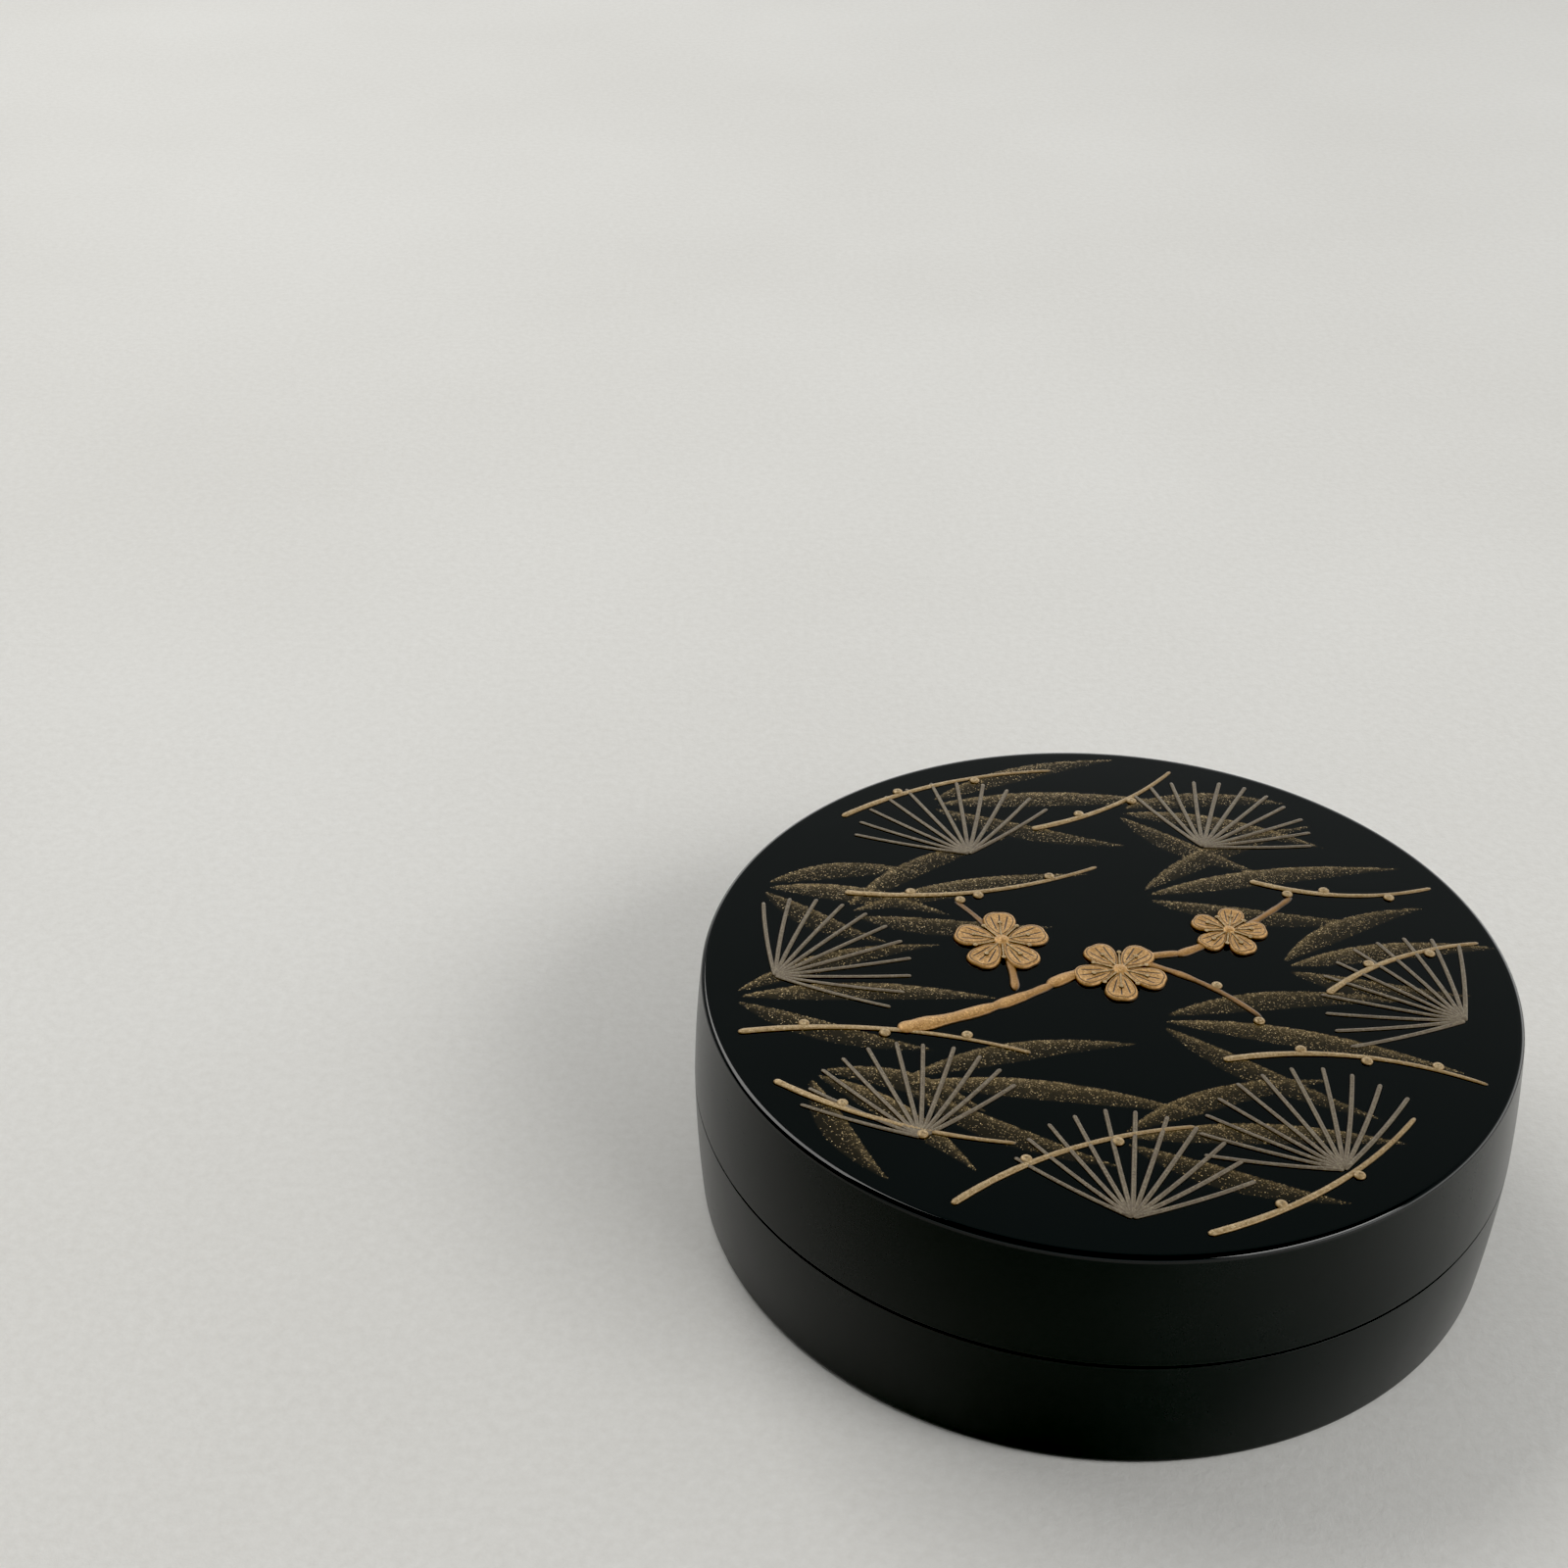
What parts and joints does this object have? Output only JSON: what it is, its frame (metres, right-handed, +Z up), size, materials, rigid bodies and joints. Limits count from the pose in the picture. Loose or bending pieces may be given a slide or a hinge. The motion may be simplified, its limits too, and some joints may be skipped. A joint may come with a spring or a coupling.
{
  "type": "incense box",
  "caption": "Small round lacquered box for incense, with a lift-off lid carrying a low gold relief of pine, bamboo and plum.",
  "frame": {"origin": "centre of the underside, on the surface that the box stands on", "axes": "+Z up, along the turning axis; -Y is the front of the lid's picture and +X its right"},
  "size_m": [0.08, 0.08, 0.0259],
  "materials": {
    "body_lacquer": "black lacquer over turned wood, satin outside and inside",
    "lid_lacquer": "black lacquer over turned wood, satin wall, polished top",
    "gold_powder": "sprinkled gold and bronze powder, matt, on the lid's relief"
  },
  "bodies": {
    "root": {"body": "body_lacquer", "lid": "lid_lacquer"}
  },
  "joints": []
}
